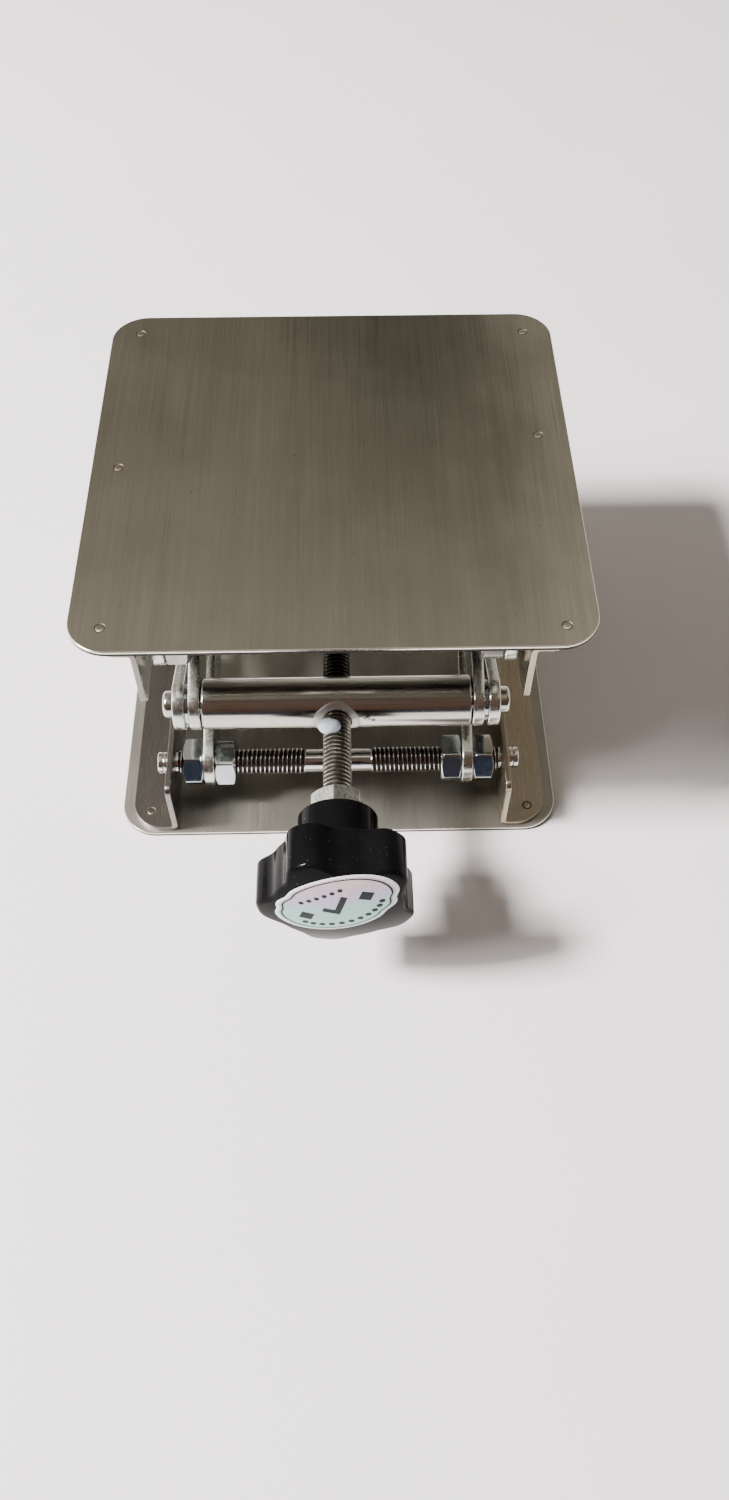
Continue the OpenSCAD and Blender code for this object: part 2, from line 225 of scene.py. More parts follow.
def plated(name, base, tint, rough, mottle=0.7, bump=0.15, stain=0.25, cover=0.56):
    """Zinc plate, faintly blotched. Dark stains start where the fine noise passes cover."""
    mat, nt, bsdf = new_material(name)
    big = noise_tex(nt, coords(nt), 0.22, 4, 0.6)
    small = noise_tex(nt, coords(nt), 1.6, 4, 0.6)
    col = mix_color(nt, value_map(nt, big, 0.35, 0.65, 0.0, 1.0), base, tint)
    col = mix_color(nt, value_map(nt, small, cover, cover + 0.16, 0.0, stain), col, times(tint, 0.45))
    link(nt, col, bsdf.inputs["Base Color"])
    link(nt, value_map(nt, small, 0.3, 0.7, *rough), bsdf.inputs["Roughness"])
    bsdf.inputs["Metallic"].default_value = 1.0
    add_bump(nt, bsdf, noise_tex(nt, coords(nt), mottle, 3, 0.6), bump, 0.08)
    return mat


def turned(name, base, dark, rough=(0.12, 0.22)):
    """A bar turned about X: fine tool lines round it and drag marks along it."""
    mat, nt, bsdf = new_material(name)
    rings = noise_tex(nt, coords(nt, (6.0, 0.05, 0.05)), 1.0, 3, 0.6)
    drag = noise_tex(nt, coords(nt, (0.05, 2.2, 2.2)), 0.8, 4, 0.65)
    pits = noise_tex(nt, coords(nt), 2.4, 2, 0.5)
    col = mix_color(nt, value_map(nt, drag, 0.35, 0.65, 0.0, 1.0), base, dark)
    col = mix_color(nt, value_map(nt, pits, 0.66, 0.72, 0.0, 0.6), col, times(dark, 0.35))
    link(nt, col, bsdf.inputs["Base Color"])
    link(nt, value_map(nt, drag, 0.3, 0.7, *rough), bsdf.inputs["Roughness"])
    bsdf.inputs["Metallic"].default_value = 1.0
    add_bump(nt, bsdf, math_node(nt, "ADD", rings, math_node(nt, "MULTIPLY", drag, 0.8)), 0.12, 0.03)
    return mat


def threaded(name, base, hollow_tone, rough, amount=0.55, shade_and_grease_from=None):
    """Rolled thread, darker in its hollows. Past a given Y towards the back it is painted dark, as painted
    shade under the platform and as grease.
    """
    mat, nt, bsdf = new_material(name)
    geo = nt.nodes.new("ShaderNodeNewGeometry")
    hollow = value_map(nt, geo.outputs["Pointiness"], 0.46, 0.51, 1.0, 0.0)
    n = noise_tex(nt, coords(nt), 0.8, 4, 0.6)
    hollow_darkening = math_node(nt, "MULTIPLY", hollow, value_map(nt, n, 0.3, 0.7, amount * 0.6, amount))
    col = mix_color(nt, hollow_darkening, base, hollow_tone)
    if shade_and_grease_from is not None:
        _, y, _ = xyz(nt, coords(nt))
        # painted dark behind the given Y: painted shade under the platform, and grease
        shade_and_grease = value_map(nt, y, shade_and_grease_from, shade_and_grease_from + 5.0, 0.0, 0.9)
        col = mix_color(nt, shade_and_grease, col, (0.07, 0.06, 0.055))
    link(nt, col, bsdf.inputs["Base Color"])
    link(nt, value_map(nt, n, 0.3, 0.7, *rough), bsdf.inputs["Roughness"])
    bsdf.inputs["Metallic"].default_value = 1.0
    add_bump(nt, bsdf, n, 0.1, 0.05)
    return mat


def knob_black(name):
    """Glossy black plastic with a few specks of dust."""
    mat, nt, bsdf = new_material(name)
    n = noise_tex(nt, coords(nt), 0.12, 3, 0.5)
    fine = noise_tex(nt, coords(nt), 3.5, 3, 0.6)
    dust = noise_tex(nt, coords(nt), 1.7, 2, 0.5)
    shade = value_map(nt, n, 0.35, 0.65, 0.0, 1.0)
    col = mix_color(nt, shade, (0.0030, 0.0030, 0.0035), (0.0050, 0.0047, 0.0047))
    col = mix_color(nt, value_map(nt, dust, 0.73, 0.76, 0.0, 0.5), col, (0.12, 0.11, 0.10))
    link(nt, col, bsdf.inputs["Base Color"])
    r = math_node(nt, "ADD", value_map(nt, n, 0.3, 0.7, 0.06, 0.10), value_map(nt, fine, 0.4, 0.8, 0.0, 0.05))
    link(nt, r, bsdf.inputs["Roughness"])
    bsdf.inputs["IOR"].default_value = 1.12
    add_bump(nt, bsdf, fine, 0.04, 0.02)
    return mat


def foil(name):
    """Iridescent foil: hue drifts across the label with a fine grain."""
    mat, nt, bsdf = new_material(name)
    tc = nt.nodes.new("ShaderNodeTexCoord")
    x, _, z = xyz(nt, tc.outputs["Object"])
    # height above the label's centre, in millimetres, leaning with the label
    z = math_node(nt, "SUBTRACT", math_node(nt, "MULTIPLY", z, 1000.0), MID_Z + LABEL_AT[1])
    x = math_node(nt, "MULTIPLY", x, 1000.0)
    t = math_node(nt, "ADD", z, math_node(nt, "MULTIPLY", x, -0.15))
    n = noise_tex(nt, coords(nt), 0.22, 3, 0.5)
    t = math_node(nt, "ADD", t, value_map(nt, n, 0.3, 0.7, -2.0, 2.0))
    hues = [
        (0.0, (0.28, 0.59, 0.49)),
        (0.30, (0.26, 0.56, 0.46)),
        (0.50, (0.30, 0.51, 0.47)),
        (0.66, (0.43, 0.36, 0.53)),
        (0.82, (0.52, 0.36, 0.44)),
        (1.0, (0.53, 0.43, 0.37)),
    ]
    col = ramp(nt, value_map(nt, t, -9.0, 9.0, 0.0, 1.0), hues)
    grain = noise_tex(nt, coords(nt, (6, 6, 6)), 1.0, 2, 0.5)
    col = mix_color(nt, value_map(nt, grain, 0.35, 0.65, 0.0, 0.22), col, (0.60, 0.68, 0.68))
    link(nt, col, bsdf.inputs["Base Color"])
    bsdf.inputs["Metallic"].default_value = 0.35
    link(nt, value_map(nt, grain, 0.3, 0.7, 0.22, 0.36), bsdf.inputs["Roughness"])
    add_bump(nt, bsdf, n, 0.15, 0.1)
    return mat


def paint(name, color, rough, grain=2.0, amount=0.2, ior=1.45):
    mat, nt, bsdf = new_material(name)
    n = noise_tex(nt, coords(nt), grain, 3, 0.6)
    col = mix_color(nt, value_map(nt, n, 0.35, 0.65, 0.0, amount), color, times(color, 0.7))
    link(nt, col, bsdf.inputs["Base Color"])
    link(nt, value_map(nt, n, 0.3, 0.7, rough - 0.06, rough + 0.08), bsdf.inputs["Roughness"])
    bsdf.inputs["IOR"].default_value = ior
    add_bump(nt, bsdf, n, 0.08, 0.05)
    return mat


# roughness from the smoothest spots to the roughest
SHINY, SATIN, DULL = (0.08, 0.17), (0.16, 0.30), (0.26, 0.42)
RAIL_FINISH = {"rough": (0.22, 0.34), "aniso": 0.6, "along": 0.08}
SHADE_AND_GREASE_Y = -40.0  # the lead screw is painted dark behind this: painted shade under the platform, and grease
M = {
    # the top plate: a dark band, and a painted sheen at its side edges
    "plate": brushed_steel("plate_brushed", (0.54, 0.505, 0.415), (0.455, 0.42, 0.345), colour_overlay=dark_band_and_painted_sheen),
    # the base plate: its colour darker than the top plate's, painted shade under the platform
    "plate_base_shaded": brushed_steel("plate_base_shaded", (0.40, 0.385, 0.335), (0.33, 0.315, 0.27), (0.36, 0.50), 0.35),
    # the plates' undersides: a dark copy of the steel, painted shade
    "plate_underside_shade": brushed_steel("plate_underside_shade", (0.14, 0.135, 0.115), (0.11, 0.105, 0.09), (0.30, 0.44)),
    "rail": brushed_steel("rail_steel", (0.45, 0.385, 0.29), (0.38, 0.325, 0.24), **RAIL_FINISH),
    # a darker copy of the rail steel for the left rails: painted shade
    "rail_shaded": brushed_steel("rail_steel_shaded", (0.25, 0.232, 0.212), (0.19, 0.176, 0.16), **RAIL_FINISH),
    "zinc": plated("zinc_bright", (0.58, 0.62, 0.63), (0.46, 0.51, 0.54), SHINY, bump=0.06, stain=0.2),
    "arm": plated("zinc_arm", (0.72, 0.725, 0.665), (0.58, 0.59, 0.55), SATIN, 0.5, 0.10, 0.22),
    "bar": turned("bar_polished", (0.62, 0.61, 0.55), (0.49, 0.48, 0.43)),
    "galvanised": plated(
        "zinc_galvanised", (0.92, 0.93, 0.85), (0.60, 0.61, 0.54), (0.26, 0.46), 1.5, 0.8, 0.9, cover=0.46
    ),
    "rod_thread": threaded("rod_thread", (0.76, 0.755, 0.71), (0.30, 0.28, 0.26), (0.14, 0.24), 0.3),
    # near-black thread roots: painted shade in the thread's hollows
    "thread_root_shade": threaded("thread_root_shade", (0.065, 0.058, 0.050), (0.02, 0.018, 0.016), (0.4, 0.55)),
    "rod_plain": turned("rod_plain", (0.74, 0.735, 0.70), (0.58, 0.575, 0.54), (0.10, 0.2)),
    "screw": threaded("screw_thread", (0.90, 0.89, 0.80), (0.30, 0.29, 0.25), (0.16, 0.28), 0.35, SHADE_AND_GREASE_Y),
    "knob": knob_black("knob_black"),
    "foil": foil("label_foil"),
    "white": paint("label_border", (0.86, 0.85, 0.88), 0.3),
    "ink": paint("label_ink", (0.012, 0.018, 0.02), 0.45, ior=1.2),
    # the plates' sheared edges: the dull lower band is painted dark as painted shade, and the upper band is
    # painted bright as a painted highlight
    "edge_dull_shaded": plated("edge_dull_shaded", (0.050, 0.045, 0.040), (0.030, 0.027, 0.024), (0.5, 0.7), stain=0.3),
    "edge_bright_highlight": plated("edge_bright_highlight", (0.90, 0.87, 0.77), (0.72, 0.69, 0.60), SATIN, 1.2, stain=0.5),
    # the lead screw's thread roots, painted dark: painted shade
    "screw_root_shade": threaded(
        "screw_root_shade", (0.15, 0.145, 0.125), (0.05, 0.047, 0.04), (0.34, 0.5), shade_and_grease_from=SHADE_AND_GREASE_Y
    ),
    # a darker copy of the zinc for the nuts under the platform: painted shade
    "zinc_shaded": plated("zinc_shaded", (0.42, 0.42, 0.40), (0.30, 0.29, 0.27), DULL, bump=0.2, stain=0.4),
    "weld": plated("weld_mark", (0.16, 0.12, 0.09), (0.08, 0.06, 0.045), (0.4, 0.6), stain=0.4),
    "matte": plated("drilled_steel", (0.54, 0.53, 0.51), (0.36, 0.355, 0.34), (0.36, 0.55), 1.6, 0.5, 0.35),
    "grease": paint("grease_white", (0.80, 0.83, 0.86), 0.22, 1.2, 0.12),
}


def surface(key):
    """A material's own settings."""
    return M[key].node_tree.nodes["Principled BSDF"].inputs


surface("grease")["Subsurface Weight"].default_value = 0.3
for root in ("thread_root_shade", "screw_root_shade"):
    surface(root)["Specular Tint"].default_value = (0.15, 0.14, 0.13, 1)


# ---------------------------------------------------------------- outlines
def polar(cx, cy, r, angles):
    return [(cx + r * math.cos(a), cy + r * math.sin(a)) for a in angles]


def arc(cx, cy, r, a0, a1, n):
    """From a0 to a1 degrees in n steps."""
    return polar(cx, cy, r, [math.radians(a0 + (a1 - a0) * i / n) for i in range(n + 1)])


def circle(cx, cy, r, n):
    return polar(cx, cy, r, [2 * math.pi * i / n for i in range(n)])


def hole(cx, cy, r, n=40):
    """A circle that runs clockwise, as the holes of a sheet do."""
    return circle(cx, cy, r, n)[::-1]


def corner_rect(x0, y0, x1, y1, r, n):
    """Rectangle, counter-clockwise. r holds the corner radii, from (x0, y0) on."""
    pts = arc(x0 + r[0], y0 + r[0], r[0], 180, 270, n)
    pts += arc(x1 - r[1], y0 + r[1], r[1], 270, 360, n)
    pts += arc(x1 - r[2], y1 - r[2], r[2], 0, 90, n)
    pts += arc(x0 + r[3], y1 - r[3], r[3], 90, 180, n)
    return pts


def offset(pts, d):
    """Contour moved d to its left side."""
    least_cos = 0.5  # keeps sharp corners from shooting out
    out = []
    n = len(pts)
    for i, p in enumerate(pts):
        a, b = Vector(pts[i - 1]), Vector(pts[(i + 1) % n])
        p = Vector(p)
        t1, t2 = (p - a).normalized(), (b - p).normalized()
        n1, n2 = Vector((-t1.y, t1.x)), Vector((-t2.y, t2.x))
        m = (n1 + n2).normalized()
        out.append(tuple(p + m * (d / max(least_cos, m.dot(n1)))))
    return out


def bezier(s, p, e, n):
    """A curve of n steps from s to e that p pulls towards it."""
    shares = [i / n for i in range(n + 1)]
    return [s * (1 - t) ** 2 + p * 2 * t * (1 - t) + e * t * t for t in shares]


def rounded(profile, r, seg=3):
    """Rounds the inner corners of an open (radius, height) profile."""
    out = [profile[0]]
    for a, p, b in zip(profile, profile[1:], profile[2:]):
        a, p, b = Vector(a), Vector(p), Vector(b)
        d1, d2 = (a - p), (b - p)
        k = min(r, d1.length * 0.45, d2.length * 0.45)
        out += [tuple(q) for q in bezier(p + d1.normalized() * k, p, p + d2.normalized() * k, seg)]
    out.append(profile[-1])
    return out


# ---------------------------------------------------------------- meshes
def band(a, b, n):
    """Quads between two rings of n vertices that start at a and b."""
    return [(a + i, a + (i + 1) % n, b + (i + 1) % n, b + i) for i in range(n)]


def add_faces(bm, verts, place, *groups):
    """Adds verts, in local millimetres, where place puts them, and groups of (faces, material index)."""
    vs = [bm.verts.new(Vector(place(*v)) * MM) for v in verts]
    for faces, index in groups:
        for f in faces:
            bm.faces.new([vs[i] for i in f]).material_index = index


def split(bm, at, normal):
    """Splits every face that crosses the plane, in the mesh's own units."""
    geom = list(bm.verts) + list(bm.edges) + list(bm.faces)
    bmesh.ops.bisect_plane(bm, geom=geom, plane_co=at, plane_no=normal, dist=1e-5)


def finish_mesh(bm, name, materials, sharp=16.0):
    """The mesh as an object, with edges past sharp degrees shaded sharp."""
    bmesh.ops.remove_doubles(bm, verts=bm.verts, dist=2e-7)
    bmesh.ops.recalc_face_normals(bm, faces=bm.faces)
    for f in bm.faces:
        f.smooth = True
    limit = math.radians(sharp)
    for e in bm.edges:
        if len(e.link_faces) == 2:
            e.smooth = e.calc_face_angle(0.0) < limit
    me = bpy.data.meshes.new(name)
    bm.to_mesh(me)
    bm.free()
    for key in materials:
        me.materials.append(M[key])
    ob = bpy.data.objects.new(name, me)
    bpy.context.scene.collection.objects.link(ob)
    return ob


def sheet(outer, holes, t, edge, seg=4, marks=(), dull_share=0.5):
    """A flat part of thickness t with rounded edges. marks are spot welds on its top face.
    dull_share is the share of the edge that is sheared dull and painted as shade. Returns vertices, plain
    faces, the faces of the dark weld rings, the dull faces of the edge for painted shade, and the bright
    faces above them for a painted highlight."""
    rim_flat = 0.08  # a flat strip beside the rounding keeps its shading off the large faces
    verts, faces, dark, dull, bright = [], [], [], [], []
    prof = [(edge + rim_flat, 0.0)]
    for k in range(seg + 1):
        a = math.pi / 2 * k / seg
        prof.append((edge * (1 - math.sin(a)), edge * (1 - math.cos(a))))
    half = len(prof)
    prof += [(0.0, t * dull_share)] + [(inset, t - w) for inset, w in reversed(prof)]
    low, high = [], []
    for c in [outer] + list(holes):
        n = len(c)
        rings = []
        for inset, w in prof:
            rings.append(len(verts))
            verts += [(x, y, w) for x, y in (offset(c, inset) if inset > 1e-9 else c)]
        for k, (a, b) in enumerate(zip(rings, rings[1:])):
            group = dull if 0 < k < half else bright if half <= k < 2 * half - 1 else faces
            group.extend(band(a, b, n))
        low.append(list(range(rings[0], rings[0] + n)))
        high.append(list(range(rings[-1], rings[-1] + n)))
    for mx, my in marks:
        n = 28
        rings = []
        for r, h in WELD:
            rings.append(len(verts))
            verts += [(x, y, t + h) for x, y in hole(mx, my, r, n)]
        for k, (a, b) in enumerate(zip(rings, rings[1:])):
            (dark if k in WELD_DARK else faces).extend(band(a, b, n))
        faces.append(tuple(range(rings[-1], rings[-1] + n)))
        high.append(list(range(rings[0], rings[0] + n)))
    for loops in (low, high):
        flat = [i for loop in loops for i in loop]
        contours = [[Vector((verts[i][0], verts[i][1], 0)) for i in loop] for loop in loops]
        faces += [tuple(flat[k] for k in tri) for tri in geometry.tessellate_polygon(contours)]
    return verts, faces, dark, dull, bright


def add_sheet(bm, part, place, *indices):
    """Adds a sheet; indices are the materials of its plain, dark, dull and bright faces."""
    verts, *groups = part
    add_faces(bm, verts, place, *zip(groups, indices))


def revolve(profile, n=64):
    """Solid of revolution from (radius, height) points, which run from axis to axis or form a closed loop."""
    verts, faces, rings = [], [], []
    for r, h in profile:
        if r <= 1e-9:
            rings.append([len(verts)] * n)
            verts.append((0, 0, h))
        else:
            rings.append(list(range(len(verts), len(verts) + n)))
            verts += [(x, y, h) for x, y in circle(0, 0, r, n)]
    pairs = list(zip(rings, rings[1:]))
    if profile[0][0] > 0:
        pairs.append((rings[-1], rings[0]))
    for a, b in pairs:
        for i in range(n):
            j = (i + 1) % n
            f = tuple(dict.fromkeys((a[i], a[j], b[j], b[i])))
            if len(f) > 2:
                faces.append(f)
    return verts, faces


def helix(y0, y1, end_r0, end_r1, n=40, dark=(2,)):
    """A thread from y0 to y1, chamfered from its end radii, as one closed skin. dark says which
    of the four bands of a turn are painted dark, as painted shade in the thread's hollows. Returns vertices,
    plain faces and the faces painted dark."""
    at = [0.0, 0.20, 0.36, 0.84, 1.0]
    radii = [THREAD_R, THREAD_R, ROOT_R, ROOT_R, THREAD_R]
    chamfer = 1.2
    bands = len(at) - 1

    def radius(turns):
        turns %= 1.0
        k = next(k for k in range(bands) if turns <= at[k + 1])
        f = (turns - at[k]) / (at[k + 1] - at[k])
        return radii[k] + (radii[k + 1] - radii[k]) * f

    rows = int((y1 - y0) / PITCH + 3) * bands
    verts, faces, roots = [], [], []
    for i in range(n):
        for j in range(rows):
            y = y0 + PITCH * (-1 + j // bands + at[j % bands] + i / n)
            y = min(max(y, y0), y1)
            r = radius((y - y0) / PITCH - i / n)
            r = min(r, end_r0 + (y - y0) * chamfer, end_r1 + (y1 - y) * chamfer)
            a = 2 * math.pi * i / n
            verts.append((r * math.cos(a), r * math.sin(a), y))
    for i in range(n):
        last = i == n - 1
        for j in range(rows - 1 - (bands if last else 0)):
            here = i * rows + j
            there = j + bands if last else here + rows
            (roots if j % bands in dark else faces).append((here, there, there + 1, here + 1))
    return verts, faces, roots


def add_helix(bm, thread, place):
    """Adds a thread with its crest in material 0 and its root, painted dark as shade, in material 2."""
    verts, faces, roots = thread
    add_faces(bm, verts, place, (faces, 0), (roots, 2))


def close_helix(bm):
    """Welds a helix's seam and caps its two ends."""
    bmesh.ops.remove_doubles(bm, verts=bm.verts, dist=3e-7)
    loose = [v for v in bm.verts if not v.link_faces]
    bmesh.ops.delete(bm, geom=loose, context="VERTS")
    loose = [e for e in bm.edges if not e.link_faces]
    bmesh.ops.delete(bm, geom=loose, context="EDGES")
    bmesh.ops.holes_fill(bm, edges=[e for e in bm.edges if len(e.link_faces) == 1], sides=0)


# ---------------------------------------------------------------- placing
def along_x(x0, y, z, side=1):
    """Local Z runs outwards along X from x0; side -1 mirrors it to the left."""
    return lambda a, b, c: (side * (x0 + c), y + a, z + b)


def along_y(y0, z, direction=1):
    """Local Z runs along Y from y0."""
    return lambda a, b, c: (a, y0 + direction * c, z + b)


def unplaced(a, b, c):
    """Keeps local millimetres as the mesh's units, until it is bent."""
    return (a / MM, b / MM, c / MM)


def ride(ob, body, slot, *nodes):
    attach(ob, body)
    if nodes:
        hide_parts(*nodes)


# ---------------------------------------------------------------- plates
def plate(name, z, up, body, node, face):
    """A plate with its weld marks on top, or underneath where up is False. Either way the lower
    part of its edge is sheared dull and painted dark as shade, and the upper part is painted bright as a
    highlight."""
    bm = bmesh.new()
    h = PLATE_W / 2
    outline = corner_rect(-h, -h, h, h, [PLATE_R] * 4, 18)
    part = sheet(outline, [], PLATE_T, edge=0.2, marks=PLATE_MARKS, dull_share=0.62 if up else 0.45)
    if up:
        add_sheet(bm, part, lambda a, b, c: (a, b, z + c), 0, 1, 3, 4)
    else:
        add_sheet(bm, part, lambda a, b, c: (a, b, z + PLATE_T - c), 0, 1, 4, 3)
    bmesh.ops.recalc_face_normals(bm, faces=bm.faces)
    # faces that point down get the dark underside copy of the steel: painted shade
    for f in bm.faces:
        if f.material_index == 0 and f.normal.z < -0.9:
            f.material_index = 2
    ob = finish_mesh(bm, name, [face, "weld", "plate_underside_shade", "edge_dull_shaded", "edge_bright_highlight"])
    ride(ob, body, "plate_steel", node)


plate("top_plate_sheet", HEIGHT - PLATE_T, True, "platform", "top_plate", "plate")
plate("base_plate_sheet", 0.0, False, "base", "base_plate", "plate_base_shaded")


# ---------------------------------------------------------------- rails
def rear_rod_y(height):
    """Where the rear rods stand when the platform is at height."""
    return FRONT_Y + ARM_LEN * math.cos(math.asin((height - 2 * SLIDE_H) / 2 / ARM_LEN))


def rail(name, side, top, body, node, material):
    """Angle rail: a flat blank with its hole, slot and weld marks, then bent."""
    outer_r = BEND_R + RAIL_T
    mid_r = outer_r - RAIL_T / 2
    flat = RAIL_FLANGE - outer_r
    bend = mid_r * math.pi / 2
    width = flat + bend + RAIL_H - outer_r
    x_out = RAIL_IN + RAIL_FLANGE
    rod_u = flat + bend + (SLIDE_H - PLATE_T - outer_r)
    slot_play = 0.5
    r = END_R + HOLE_GAP
    h = RAIL_LEN / 2
    blank = corner_rect(0, -h, width, h, [PLATE_R - 1, 2, 2, PLATE_R - 1], 14)
    slot = arc(rod_u, rear_rod_y(HIGHEST) - slot_play, r, 180, 360, 20)
    slot += arc(rod_u, rear_rod_y(LOWEST) + slot_play, r, 0, 180, 20)
    marks = [(x_out - x, y) for x, y in RAIL_MARKS]
    bm = bmesh.new()
    part = sheet(blank, [hole(rod_u, FRONT_Y, r), slot[::-1]], RAIL_T, edge=0.18, marks=marks)
    add_sheet(bm, part, unplaced, 0, 1, 0, 0)
    bends = 6
    for k in range(bends + 1):
        split(bm, (flat + bend * k / bends, 0, 0), (1, 0, 0))
    for q in bm.verts:
        u, y, w = q.co
        if u <= flat:
            x, z = x_out - u, PLATE_T + w
        elif u < flat + bend:
            a = (u - flat) / mid_r
            rho = outer_r - w
            x = RAIL_IN + outer_r - rho * math.sin(a)
            z = PLATE_T + outer_r - rho * math.cos(a)
        else:
            x, z = RAIL_IN + w, PLATE_T + outer_r + (u - flat - bend)
        q.co = Vector((side * x, y, HEIGHT - z if top else z)) * MM
    ride(finish_mesh(bm, name, [material, "weld"]), body, "rail_steel", node)


for top, body, word in ((False, "base", "base"), (True, "platform", "top")):
    for side, hand in SIDES:
        # the left rails take the darker copy of the steel: painted shade
        material = "rail" if side > 0 else "rail_shaded"
        rail(f"{word}_angle_{hand}", side, top, body, f"{word}_rail_{hand}", material)


# ---------------------------------------------------------------- arms
def arm(name, x0, side, y, z, angle, body, node):
    """An arm from its first pivot at (y, z), leaning by angle."""
    w = ARM_W / 2
    outline = arc(0, 0, w, 90, 270, 24) + arc(ARM_LEN, 0, w, -90, 90, 24)
    bores = ((0, THREAD_R), (ARM_LEN / 2, PIN_R), (ARM_LEN, PIN_R))
    holes = [hole(u, 0, r + HOLE_GAP) for u, r in bores]
    ca, sa = math.cos(angle), math.sin(angle)

    def place(a, b, c):
        return (side * (x0 + c), y + a * ca - b * sa, z + a * sa + b * ca)

    bm = bmesh.new()
    add_sheet(bm, sheet(outline, holes, ARM_T, edge=0.42, seg=5), place, 0, 0, 0, 0)
    ride(finish_mesh(bm, name, ["arm"]), body, "arm_zinc", node)


for side, hand in SIDES:
    for word, x0, y, z, angle in (
        ("lower_inner", LOW_INNER_X, FRONT_Y, SLIDE_H, FOLD),
        ("lower_outer", LOW_OUTER_X, REAR_Y, SLIDE_H, math.pi - FOLD),
        ("upper_inner", UP_INNER_X, REAR_Y, TOP_Z, math.pi + FOLD),
        ("upper_outer", UP_OUTER_X, FRONT_Y, TOP_Z, -FOLD),
    ):
        arm(f"link_{word}_{hand}", x0, side, y, z, angle, f"{word}_link", f"{word}_arm_{hand}")


# ---------------------------------------------------------------- rods
def rod(name, y, z, body, node):
    """A cross rod: two threaded lengths, a plain shank between them, and grooved plain ends."""
    lap = 0.4
    wall, width, floor_r = 0.14, 0.38, END_R - GROOVE_DEPTH
    bm = bmesh.new()
    for side, _ in SIDES:
        thread = helix(SHANK_HALF - lap, SHOULDER_X, end_r0=2.45, end_r1=2.3)
        add_helix(bm, thread, along_x(0, y, z, side))
    close_helix(bm)
    half = SHANK_HALF + 0.2
    v, f = revolve(rounded([(0, -half), (SHANK_R, -half), (SHANK_R, half), (0, half)], 0.25))
    add_faces(bm, v, along_x(0, y, z), (f, 1))
    for side, _ in SIDES:
        end = [(0, SHOULDER_X - lap), (END_R, SHOULDER_X - lap)]
        for x in GROOVES_X:
            end += [(END_R, x), (floor_r, x + wall), (floor_r, x + width - wall), (END_R, x + width)]
        end += [(END_R, ROD_HALF), (0, ROD_HALF)]
        v, f = revolve(rounded(end, 0.45))
        add_faces(bm, v, along_x(0, y, z, side), (f, 1))
    ride(finish_mesh(bm, name, ["rod_thread", "rod_plain", "thread_root_shade"], 24), body, "hardware_zinc", node)


rod("stud_front_base", FRONT_Y, SLIDE_H, "lower_inner_link", "front_base_rod")
rod("stud_rear_base", REAR_Y, SLIDE_H, "lower_outer_link", "rear_base_rod")
rod("stud_front_top", FRONT_Y, TOP_Z, "upper_outer_link", "front_top_rod")
rod("stud_rear_top", REAR_Y, TOP_Z, "upper_inner_link", "rear_top_rod")


# ---------------------------------------------------------------- nuts
def hex_nut(t, bore, turn):
    """Chamfered hex nut from z = 0 to t, with a chamfered bore."""
    corner_r = NUT_AF / math.sqrt(3) - 0.05
    round_off = 0.32  # how far the six upright edges are rounded
    bevel = 0.05
    flat_r = NUT_AF / 2 * 0.955
    slope = math.tan(math.radians(32))
    pts = []

    def corner(a):
        return Vector((math.cos(a), math.sin(a))) * corner_r

    for k in range(6):
        a = math.radians(60 * k + turn)
        c, before, after = corner(a), corner(a - math.pi / 3), corner(a + math.pi / 3)
        s = c + (before - c).normalized() * round_off
        e = c + (after - c).normalized() * round_off
        far = after + (c - after).normalized() * round_off
        pts += bezier(s, c, e, 4)
        pts += [e.lerp(far, i / 8) for i in range(1, 8)]

    def drop(r):
        """How far the chamfer has fallen at radius r."""
        return max(0.0, r - flat_r) * slope + 0.06

    def section(r):
        """(radius, height) from the bore to an outline point of radius r, for the lower half."""
        flat = [(bore, 0.45), (bore + 0.42, 0.0), (flat_r - 0.12, 0.0), (flat_r, 0.04)]
        return flat + [(r - bevel, drop(r - bevel)), (r, drop(r) + 0.07)]

    halves = [section(p.length) for p in pts]
    aims = [p.normalized() for p in pts]
    verts = []
    for k in range(6):
        verts += [(d.x * s[k][0], d.y * s[k][0], s[k][1]) for d, s in zip(aims, halves)]
    for k in reversed(range(6)):
        verts += [(d.x * s[k][0], d.y * s[k][0], t - s[k][1]) for d, s in zip(aims, halves)]
    n = len(pts)
    rings = list(range(0, len(verts), n))
    faces = []
    for a, b in zip(rings, rings[1:] + rings[:1]):
        faces += band(a, b, n)
    return verts, faces


def nut_pair(x, turn_right, turn_left):
    return [(x, 1, turn_right), (x, -1, turn_left)]


def rod_nuts(name, places, y, z, body, node, material="zinc"):
    bm = bmesh.new()
    for x0, side, turn in places:
        v, f = hex_nut(NUT_T, THREAD_R + 0.05, turn)
        add_faces(bm, v, along_x(x0, y, z, side), (f, 0))
    ride(finish_mesh(bm, name, [material], 14), body, "hardware_zinc", node)


FRONT_BASE = nut_pair(LOW_INNER_X - NUT_T, -4, 12) + nut_pair(LOW_INNER_X + ARM_T, -2, -2)
REAR_BASE = nut_pair(LOW_OUTER_X - NUT_T, 10, 50)
FRONT_TOP = nut_pair(UP_OUTER_X - NUT_T, 5, 22)
REAR_TOP = nut_pair(UP_INNER_X - NUT_T, 14, 40) + nut_pair(UP_INNER_X + ARM_T, 55, 8)
rod_nuts("hex_front_base", FRONT_BASE, FRONT_Y, SLIDE_H, "lower_inner_link", "front_base_nuts")
rod_nuts("hex_rear_base", REAR_BASE, REAR_Y, SLIDE_H, "lower_outer_link", "rear_base_nuts")
# the nuts under the platform take the darker zinc: painted shade
rod_nuts("hex_front_top", FRONT_TOP, FRONT_Y, TOP_Z, "upper_outer_link", "front_top_nuts", "zinc_shaded")
rod_nuts("hex_rear_top", REAR_TOP, REAR_Y, TOP_Z, "upper_inner_link", "rear_top_nuts", "zinc_shaded")


